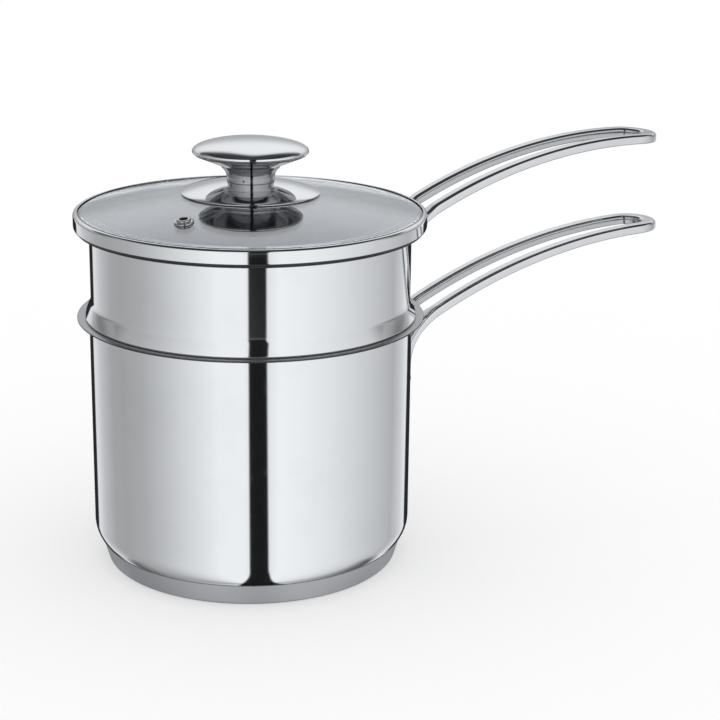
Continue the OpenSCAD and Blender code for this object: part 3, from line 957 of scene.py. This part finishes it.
    def flat_bar(self) -> bmesh.types.BMesh:
        """Models the bar in the flat, with its slot and rounded edges.

        Returns:
            The flat bar in millimetres.
        """
        bm = bmesh.new()
        root = self.along(self.face_r + self.slot_start * self.root_share)
        self._loop_half(bm, root)
        self._plate_half(bm, root)
        bmesh.ops.mirror(bm, geom=bm.verts[:] + bm.edges[:] + bm.faces[:], axis="Y", merge_dist=MERGED)
        bmesh.ops.remove_doubles(bm, verts=bm.verts, dist=MERGED)
        bmesh.ops.recalc_face_normals(bm, faces=bm.faces)
        bmesh.ops.solidify(bm, geom=bm.faces[:], thickness=self.rail_t)
        lowest = min(vert.co.z for vert in bm.verts)
        bmesh.ops.translate(bm, vec=(0.0, 0.0, -lowest), verts=bm.verts)
        bmesh.ops.recalc_face_normals(bm, faces=bm.faces)
        self._round(bm, [e for e in bm.edges if self._is_plate_corner(e)], self.plate_edge_r)
        for level, radius in ((0.0, self.lower_edge_r), (self.rail_t, self.upper_edge_r)):
            self._round(bm, [e for e in bm.edges if self._is_sharp_at(e, level)], radius)
        return bm

    def _round(self, bm: bmesh.types.BMesh, edges: list[bmesh.types.BMEdge], radius: float) -> None:
        """Rounds edges of the flat bar."""
        bmesh.ops.bevel(
            bm, geom=edges, offset=radius, segments=self.edge_steps, profile=0.5, affect="EDGES", material=-1
        )

    def _slot_centres(self) -> tuple[float, float]:
        """Returns how far along the bar the centres of the slot's two round ends are."""
        start = self.along(self.face_r + self.slot_start) + self.slot_r
        return start, self.along(self.reach - self.tip_w) - self.slot_r

    def _is_slot_side(self, face: bmesh.types.BMFace) -> bool:
        """Tells whether a face of the flat bar is a side of the slot, from how near the slot it is."""
        centre = face.calc_center_median()
        start, end = self._slot_centres()
        nearest = Vector((min(max(centre.x, start), end), 0.0))
        side = self.slot_r + self.slot_side_share * self.upper_edge_r
        return (centre.to_2d() - nearest).length < side

    @staticmethod
    def _is_sharp_at(edge: bmesh.types.BMEdge, level: float) -> bool:
        """Tells whether an edge of the flat bar is sharp and lies in its outer or its inner face."""
        flat = all(abs(vert.co.z - level) < IN_LINE for vert in edge.verts)
        return flat and edge.calc_face_angle(0.0) > SHARP

    @staticmethod
    def _is_plate_corner(edge: bmesh.types.BMEdge) -> bool:
        """Tells whether an edge of the flat bar is a corner of the plate's foot."""
        first, second = (vert.co for vert in edge.verts)
        upright = abs(first.z - second.z) > IN_LINE and (first - second).to_2d().length < IN_LINE
        return upright and abs(first.x) < IN_LINE and edge.calc_face_angle(0.0) > SHARP

    def build(self) -> None:
        """Makes the handle."""
        bm = self.flat_bar()
        flat = bm.loops.layers.uv.new("flat")
        for face in bm.faces:
            # Faces of the slot's sides take the second finish, painted shade in the slot.
            face.material_index = int(self._is_slot_side(face))
            for loop in face.loops:
                along, across, through = loop.vert.co * MM
                loop[flat].uv = (along, across + through)
        for vert in bm.verts:
            vert.co = self.bent(vert.co)
        bmesh.ops.recalc_face_normals(bm, faces=bm.faces)
        handle = Piece(self.name, bm)
        for material in (self.finishes.handle_mirror, self.finishes.slot_painted_shade):
            handle.object.data.materials.append(material)
        self.fit(handle, self.finishes.handle_mirror, self.node)


@dataclass
class Lid(SubAssembly):
    """Domed glass in a rolled steel band, whose foot is dark where its shadow would be."""

    dome_r: float = 347.0
    glass_t: float = 4.0
    screw_hole_r: float = 4.0
    glass_edge_r: float = 1.2
    band_t: float = 0.5
    band_h: float = 8.0
    roll_r: float = 1.7
    shadow_share: float = 0.75
    shadow_start: float = 1.0
    lip_w: float = 2.1
    step_in: float = 8.8
    step_h: float = 3.4
    hem_r: float = 0.75
    lip_gap: float = 0.1
    leg_gap: float = 0.05
    ease: float = 0.16
    body: str = "lid"
    glass: Envelope = field(default_factory=lambda: Envelope.of("lid_glass"))
    band: Envelope = field(default_factory=lambda: Envelope.of("lid_band"))

    def dome_z(self, r: float) -> float:
        """Returns the height of the glass's upper face at a distance from the axis."""
        top = self.band.low + self.step_h + self.band_h - self.band_t - self.lip_gap
        edge = self.band.reach - self.lip_w
        top += self.dome_r - math.sqrt(self.dome_r**2 - edge**2)
        return top - self.dome_r + math.sqrt(self.dome_r**2 - r * r)

    def _dome(self, inner_r: float, outer_r: float, drop: float) -> Bend:
        """Returns the arc of the dome between two radii, lowered by a drop."""
        centre_z = self.dome_z(0.0) - self.dome_r - drop
        start, end = (math.degrees(math.acos(r / self.dome_r)) for r in (inner_r, outer_r))
        return Bend(0.0, centre_z, self.dome_r, start, end)

    def build(self, vent: "SteamVent") -> None:
        """Makes the lid's glass and band.

        Args:
            vent: The steam vent, whose hole goes through the glass.
        """
        outer, edge = self.glass.reach, self.glass_edge_r
        rim_z = self.dome_z(outer)
        glass = Section(
            [
                self._dome(self.screw_hole_r, outer - edge, 0.0),
                Point(outer, rim_z - edge),
                Point(outer, rim_z - self.glass_t + edge),
                self._dome(outer - edge, self.screw_hole_r, self.glass_t),
            ],
            closed=True,
        ).turned()
        piece = Piece("domed_glass", glass).drilled(vent.drill(), vent.place())
        self.fit(piece, self.finishes.glass, "lid_glass", "glass")

        reach, low = self.band.reach, self.band.low + self.step_h
        top = low + self.band_h
        step_r = reach - self.step_in
        leg_r = step_r - 2 * self.hem_r
        band = Section(
            [
                Point(leg_r, self.dome_z(leg_r + self.band_t) - self.glass_t - self.leg_gap),
                Bend(step_r - self.hem_r, low - self.step_h + self.hem_r, self.hem_r, -180, 0),
                Point(step_r, low),
                Bend(reach - self.roll_r, low + self.roll_r, self.roll_r, -90, 0),
                Bend(reach - self.roll_r, top - self.roll_r, self.roll_r, 0, 90),
                Point(reach - self.lip_w, top),
            ]
        ).turned()
        # Painted shadow: the faces of the band's lower roll take the dark cut-edge finish, for the shadow in
        # the gap under the band.
        foot_z, foot_r = low + self.roll_r * self.shadow_share, step_r + self.shadow_start
        for face in band.faces:
            centre = face.calc_center_median()
            face.material_index = int(centre.z < foot_z and centre.xy.length > foot_r)
        rim = Piece("rolled_band", band).sheet(self.band_t).eased(self.ease)
        rim.object.data.materials.append(None)
        rim.object.data.materials.append(self.finishes.cut_edge_and_shade)
        self.fit(rim, self.finishes.turned_mirror, "lid_band")


@dataclass
class SteamVent(SubAssembly):
    """Rolled eyelet through the glass of a lid, with its collar."""

    lid: Lid = field(kw_only=True)
    distance: float = 60.7
    direction: float = 218.0
    bore: float = 4.0
    wall: float = 0.6
    rim: float = 0.9
    height: float = 2.2
    foot: float = 5.0
    collar_r: float = 4.8
    mouth_r: float = 0.4
    edge_r: float = 0.6
    collar_edge_r: float = 0.5
    tube_ease: float = 0.12
    ring_ease: float = 0.1
    ease_angle: float = 50.0
    gap: float = 0.05
    steps: int = 64
    body: str = "lid"

    def place(self) -> Matrix:
        """Returns the place of the vent, square to the glass."""
        turn = Matrix.Rotation(math.radians(self.direction), 4, "Z")
        move = Matrix.Translation((self.distance, 0.0, self.lid.dome_z(self.distance)))
        tilt = Matrix.Rotation(math.asin(self.distance / self.lid.dome_r), 4, "Y")
        return turn @ move @ tilt

    def drill(self) -> bmesh.types.BMesh:
        """Returns the tool that drills the glass."""
        bm = bmesh.new()
        radius, depth = self.bore / 2 + self.wall + self.gap, 4 * self.foot
        bmesh.ops.create_cone(
            bm, cap_ends=True, segments=self.steps, radius1=radius, radius2=radius, depth=depth
        )
        return bm

    def build(self) -> None:
        """Makes the vent's pieces."""
        bore_r = self.bore / 2
        tube_r = bore_r + self.wall
        rim_r = tube_r + self.rim
        eyelet = Section(
            [
                Point(bore_r, -self.foot - self.wall),
                Point(rim_r, -self.foot - self.wall),
                Point(rim_r, -self.foot - self.gap),
                Point(tube_r, -self.foot - self.gap),
                Point(tube_r, self.height - self.rim),
                Point(rim_r, self.height - self.rim),
                Bend(rim_r - self.edge_r, self.height - self.edge_r, self.edge_r, 0, 90),
                Bend(bore_r + self.mouth_r, self.height - self.mouth_r, self.mouth_r, 90, 180),
            ],
            closed=True,
            steps=self.steps,
        ).turned()
        tube = Piece("vent_tube", eyelet, self.place()).eased(self.tube_ease, self.ease_angle)
        self.fit(tube, self.finishes.small_mirror, "vent_eyelet")
        round_r = self.collar_edge_r
        collar = Section(
            [
                Point(tube_r + self.gap, self.gap),
                Point(self.collar_r, self.gap),
                Bend(self.collar_r - round_r, self.gap + round_r, round_r, 0, 90),
                Point(rim_r, self.height - self.rim - self.gap),
                Point(tube_r + self.gap, self.height - self.rim - self.gap),
            ],
            closed=True,
            steps=self.steps,
        ).turned()
        ring = Piece("vent_ring", collar, self.place()).eased(self.ring_ease, self.ease_angle)
        self.fit(ring, self.finishes.small_mirror, "vent_collar")
        self.dress("vent_washer", self.finishes.silicone)


@dataclass
class Knob(SubAssembly):
    """Mushroom knob on a convex rosette, held by a screw from under the glass.

    The rosette's top and the neck's foot are 2.1 mm higher than in the construction model, as the
    photograph has them.
    """

    press_t: float = 0.8
    rosette_rise: float = 6.7
    hole_r: float = 2.8
    neck_r: float = 11.9
    neck_band: float = 0.6
    flank_r: float = 6.0
    flank_end: float = 128.0
    shoulder_r: float = 15.2
    shoulder_h: float = 7.4
    tray_in: float = 1.1
    tray_edge_h: float = 0.5
    line_h: float = 14.2
    crown_h: float = 5.9
    rim_r: float = 1.2
    hem_angle: float = -80.0
    dome_steps: int = 40
    bush_r: float = 6.0
    disc_ease: float = 0.25
    neck_ease: float = 0.5
    neck_ease_angle: float = 25.0
    crown_ease: float = 0.15
    gap: float = 0.05
    body: str = "lid"
    disc: Envelope = field(default_factory=lambda: Envelope.of("rosette"))
    crown: Envelope = field(default_factory=lambda: Envelope.of("knob_crown"))

    def __post_init__(self) -> None:
        """Works out the heights and the domes."""
        self.disc_top = self.disc.low + self.rosette_rise
        rise = self.rosette_rise - self.press_t
        self.disc_dome_r = (self.disc.reach**2 + rise**2) / (2 * rise)
        self.foot_z = self.crown.high - self.crown_h - self.line_h

    def disc_z(self, r: float) -> float:
        """Returns the height of the rosette's upper face at a distance from the axis."""
        return self.disc_top - self.disc_dome_r + math.sqrt(self.disc_dome_r**2 - r * r)

    def build(self) -> None:
        """Makes the knob's pieces."""
        self._rosette()
        self._neck()
        self._crown()
        for node in ("knob_bush", "knob_screw", "screw_washer"):
            self.dress(node, self.finishes.plain)
        for node in ("rosette_cushion", "screw_seal"):
            self.dress(node, self.finishes.silicone)

    def _rosette(self) -> None:
        """Makes the convex disc under the knob."""
        dome_r = self.disc_dome_r
        start, end = (math.degrees(math.acos(r / dome_r)) for r in (self.disc.reach, self.hole_r))
        disc = Section([Bend(0.0, self.disc_top - dome_r, dome_r, start, end)]).turned()
        piece = Piece("rosette_disc", disc).sheet(self.press_t).eased(self.disc_ease)
        self.fit(piece, self.finishes.turned_mirror, "rosette")

    def _neck(self) -> None:
        """Makes the waisted neck, which spreads into a tray under the crown."""
        bore_r = self.bush_r + self.gap
        shoulder_z = self.foot_z + self.shoulder_h
        hem_drop = self.rim_r * math.sin(math.radians(-self.hem_angle))
        join_z = self.foot_z + self.line_h - hem_drop - self.gap
        tray_r = self.crown.reach - self.tray_in
        floor_z = shoulder_z + 2 * self.press_t
        flank_c = self.neck_r + self.flank_r
        neck = Section(
            [
                Point(bore_r, self.disc_z(bore_r) + self.gap),
                Point(self.neck_r, self.disc_z(self.neck_r) + self.gap),
                Point(self.neck_r, self.foot_z + self.neck_band),
                Bend(flank_c, self.foot_z + 2 * self.neck_band, self.flank_r, 180, self.flank_end),
                Point(self.shoulder_r, shoulder_z),
                Point(tray_r, join_z - self.tray_edge_h),
                Point(tray_r, join_z),
                Point(tray_r - self.press_t, join_z),
                Point(self.shoulder_r, floor_z),
                Point(bore_r, floor_z),
            ],
            closed=True,
        ).turned()
        piece = Piece("waisted_neck", neck).eased(self.neck_ease, self.neck_ease_angle)
        # The neck's darker steel is painted shade.
        self.fit(piece, self.finishes.neck_painted_shade, "knob_neck")

    def _crown(self) -> None:
        """Makes the domed crown, half an ellipse whose rounded rim closes over the tray."""
        line_z = self.foot_z + self.line_h
        dome = [math.pi / 2 * i / self.dome_steps for i in range(1, self.dome_steps + 1)]
        crown = Section(
            [
                Bend(self.crown.reach - self.rim_r, line_z, self.rim_r, self.hem_angle, 0),
                *(Point(self.crown.reach * math.cos(a), line_z + self.crown_h * math.sin(a)) for a in dome),
            ]
        ).turned()
        piece = Piece("domed_crown", crown).sheet(self.press_t).eased(self.crown_ease)
        self.fit(piece, self.finishes.turned_mirror, "knob_crown")


@dataclass(frozen=True)
class Way:
    """Way that a ray of the world goes, with the camera's side as the front.

    towards and rightwards are its parts to the front and to the right. azimuth and elevation are
    those of a globe, and rise is the angle from the front up over the object, all in degrees.
    """

    towards: Signal
    rightwards: Signal
    azimuth: Signal
    elevation: Signal
    rise: Signal

    @classmethod
    def of(cls, graph: Graph, pan: float) -> "Way":
        """Works out the way of a ray.

        Args:
            graph: Graph of the world.
            pan: The camera's turn to the right, in radians.

        Returns:
            The way.
        """
        x, y, z = graph.split(graph.node("ShaderNodeTexCoord", output="Generated"))
        towards = x * -math.sin(pan) + y * -math.cos(pan)
        rightwards = x * math.cos(pan) + y * -math.sin(pan)
        to_degrees = 180 / math.pi
        azimuth = graph.math("ARCTAN2", rightwards, towards) * to_degrees
        elevation = graph.math("ARCSINE", z) * to_degrees
        return cls(towards, rightwards, azimuth, elevation, graph.math("ARCTAN2", z, towards) * to_degrees)


@dataclass
class Studio:
    """Floor, surround and camera.

    The surround is what the polished steel mirrors: a ring of tones by azimuth, a ceiling by the angle
    from the back up over the object, and dark flags. Angles are in degrees.
    """

    eye: tuple[float, float, float] = (-325.95, -844.73, 377.07)
    pan: float = 24.581
    tilt: float = 16.910
    roll: float = 0.748
    lens: float = 93.154
    sensor_w: float = 36.0
    nearest: float = 10.0
    floor_r: float = 6000.0
    floor_drop: float = 0.2
    floor_steps: int = 96
    floor_tone: float = 0.7
    floor_lift: float = 0.37
    soft_light: float = 0.9
    white: RGBA = (1.0, 1.0, 1.0, 1.0)
    cool_white: RGBA = (0.955, 0.975, 1.0, 1.0)
    ring: Stops = (
        (-180, 0.62), (-144, 0.84), (-131, 0.62), (-114, 0.45), (-100, 0.43), (-79, 0.49), (-61, 0.635),
        (-45, 0.80), (-20, 1.05), (-2, 1.05), (10, 0.86), (23, 1.07), (40, 1.03), (60, 0.935),
        (88, 0.75), (125, 0.52), (140, 0.71), (150, 0.90), (180, 0.62),
    )
    ceiling: Stops = (
        (0, 0.42), (5, 0.45), (12, 0.6), (16, 0.78), (20, 0.92), (26, 1.0), (46, 1.0), (53, 0.87),
        (58, 0.65), (64, 0.28), (72, 0.08), (85, 0.05), (180, 0.05),
    )
    back_edge: Edge = (0.0, 0.6)
    ceiling_behind: Edge = (-4, 5)
    ceiling_in_front: Edge = (34, 46)
    side_lifts: tuple[tuple[Edge, float], ...] = (((0.0, 0.25), 17.0), ((0.15, 0.6), 8.0))
    lift_edge: Edge = (24, 40)
    side_dark: float = 0.8
    front_width: Span = Span(0.023, 0.235, 0.012)
    front_lean: float = 0.105
    front_foot: Edge = (-110, -25)
    front_height: Span = Span(-150, 45, 3.0)
    front_glow: Span = Span(-13.5, 4, 1.5)
    front_glow_tone: float = 0.07
    front_depth: float = 0.985
    rear_widths: tuple[Span, ...] = (Span(-177, -148.5, 1.2), Span(154, 177, 1.2))
    rear_slope: float = 0.4
    rear_foot: Edge = (-28, -24)
    rear_top: Edge = (-6, 0)
    rear_depth: float = 0.97
    pit_height: Span = Span(-78, -42, 4.0)
    pit_depth: float = 0.88

    def build(self) -> None:
        """Makes the studio."""
        self._camera()
        self._floor()
        self._world()

    def _camera(self) -> None:
        """Sets the camera where the photograph was taken from."""
        pan, tilt, roll = (math.radians(a) for a in (self.pan, self.tilt, self.roll))
        ahead = Vector((math.sin(pan) * math.cos(tilt), math.cos(pan) * math.cos(tilt), -math.sin(tilt)))
        level = Vector((math.cos(pan), -math.sin(pan), 0.0))
        upright = level.cross(ahead)
        right = level * math.cos(roll) + upright * math.sin(roll)
        up = upright * math.cos(roll) - level * math.sin(roll)
        data = bpy.data.cameras.new("camera")
        data.lens = self.lens
        data.sensor_width = self.sensor_w
        data.clip_start = self.nearest * MM
        camera = bpy.data.objects.new("camera", data)
        bpy.context.scene.collection.objects.link(camera)
        turn = Matrix((right, up, -ahead)).transposed().to_4x4()
        camera.matrix_world = Matrix.Translation(Vector(self.eye) * MM) @ turn
        bpy.context.scene.camera = camera

    def _floor(self) -> None:
        """Lays the pale floor, which keeps the object's shadow."""
        bm = bmesh.new()
        bmesh.ops.create_circle(bm, cap_ends=True, segments=self.floor_steps, radius=self.floor_r * MM)
        bmesh.ops.translate(bm, vec=(0.0, 0.0, -self.floor_drop * MM), verts=bm.verts)
        mesh = bpy.data.meshes.new("floor")
        bm.to_mesh(mesh)
        bm.free()
        floor = bpy.data.objects.new("floor", mesh)
        bpy.context.scene.collection.objects.link(floor)
        material, graph = new_material("pale_floor")
        _, seen = graph.lights()
        matte = graph.node("ShaderNodeBsdfDiffuse", inputs={"Color": paint((self.floor_tone,) * 3)})
        inputs = {"Color": self.white, "Strength": seen * self.floor_lift}
        lift = graph.node("ShaderNodeEmission", inputs=inputs)
        graph.surface(graph.node("ShaderNodeAddShader", inputs={0: matte, 1: lift}))
        mesh.materials.append(material)
        floor.visible_glossy = False

    def _world(self) -> None:
        """Makes the soft light: white where the camera looks, and the surround for reflections."""
        world = bpy.data.worlds.new("studio")
        world.use_nodes = True
        bpy.context.scene.world = world
        graph = Graph(world.node_tree)
        tone = self._tone(graph, Way.of(graph, math.radians(self.pan)))
        glossy, seen = graph.lights()
        strength = tone * glossy + (1.0 - glossy) * (seen + (1.0 - seen) * self.soft_light)
        colour = graph.blend(glossy, self.white, self.cool_white)
        shader = graph.node("ShaderNodeBackground", inputs={"Color": colour, "Strength": strength})
        graph.node("ShaderNodeOutputWorld", inputs={"Surface": shader})

    def _tone(self, graph: Graph, way: Way) -> Signal:
        """Joins the ring, the ceiling and the flags.

        Args:
            graph: Graph of the world.
            way: The way of a ray.

        Returns:
            The surround's tone.
        """
        stops = tuple(((angle + 180) / 360, tone) for angle, tone in self.ring)
        ring = graph.ramp((way.azimuth + 180.0) / 360.0, stops)
        sky = self._sky(graph, way)
        back = (way.towards * -1.0).step(*self.back_edge)
        behind = back * way.elevation.step(*self.ceiling_behind)
        in_front = (1.0 - back) * way.elevation.step(*self.ceiling_in_front)
        tone = ring + (sky - ring) * (behind + in_front)
        pit = back * way.elevation.within(self.pit_height)
        shades = (
            (self._front_flag(way), self.front_depth),
            (self._rear_flags(graph, way), self.rear_depth),
            (pit, self.pit_depth),
        )
        for shade, depth in shades:
            tone = tone * (1.0 - shade * depth)
        return tone

    def _sky(self, graph: Graph, way: Way) -> Signal:
        """Returns the ceiling's tone, which comes down lower and darker at the sides."""
        over = 180.0 - way.rise
        aside = graph.math("ABSOLUTE", way.rightwards)
        near, far = (aside.step(*edge) * angle for edge, angle in self.side_lifts)
        over = over + (near + far) * over.step(*self.lift_edge)
        sky = graph.ramp(over / 180.0, tuple((angle / 180, tone) for angle, tone in self.ceiling))
        return sky * (1.0 - way.rightwards * way.rightwards * self.side_dark)

    def _front_flag(self, way: Way) -> Signal:
        """Returns the tall flag beside the camera, which leans at its foot and glows a little."""
        sunk = 1.0 - way.rise.step(*self.front_foot)
        flag = (way.rightwards + sunk * self.front_lean).within(self.front_width)
        flag = flag * way.rise.within(self.front_height)
        return flag * (1.0 - way.rise.within(self.front_glow) * self.front_glow_tone)

    def _rear_flags(self, graph: Graph, way: Way) -> Signal:
        """Returns the flags behind the object, which darken its outline and follow the base's corner."""
        left, right = (way.azimuth.within(width) for width in self.rear_widths)
        from_rear = 180.0 - graph.math("ABSOLUTE", way.azimuth)
        foot = (way.elevation + from_rear * self.rear_slope).step(*self.rear_foot)
        return (left + right) * foot * (1.0 - way.elevation.step(*self.rear_top))


def handles(finishes: Finishes) -> tuple[LoopHandle, LoopHandle]:
    """Describes the two handles, which share their bar and differ in their plates and curves.

    Args:
        finishes: The object's finishes.

    Returns:
        The lower and the upper handle.
    """
    lower = LoopHandle(
        finishes,
        name="lower_loop_handle",
        node="lower_handle",
        body="lower_pan",
        own_wall_r=80.7,
        plate_out=2.7,
        plate_w=28.0,
        plate_h=9.7,
        arm_r=282.0,
        arm_angle=28.5,
    )
    upper = LoopHandle(
        finishes,
        name="upper_loop_handle",
        node="upper_handle",
        body="insert_pan",
        own_wall_r=79.8,
        plate_out=2.2,
        plate_w=20.0,
        plate_h=10.6,
        arm_r=255.0,
        arm_angle=27.0,
    )
    return lower, upper


def main() -> None:
    """Builds the double boiler and its studio."""
    logging.basicConfig(level=logging.INFO, format="%(name)s: %(message)s")
    bpy.context.scene.view_settings.view_transform = "Standard"
    Studio().build()
    finishes = Finishes()
    LowerPan(finishes).build()
    InsertPan(finishes).build()
    for handle in handles(finishes):
        handle.build()
    lid = Lid(finishes)
    vent = SteamVent(finishes, lid=lid)
    lid.build(vent)
    vent.build()
    Knob(finishes).build()


if __name__ == "__main__":
    main()
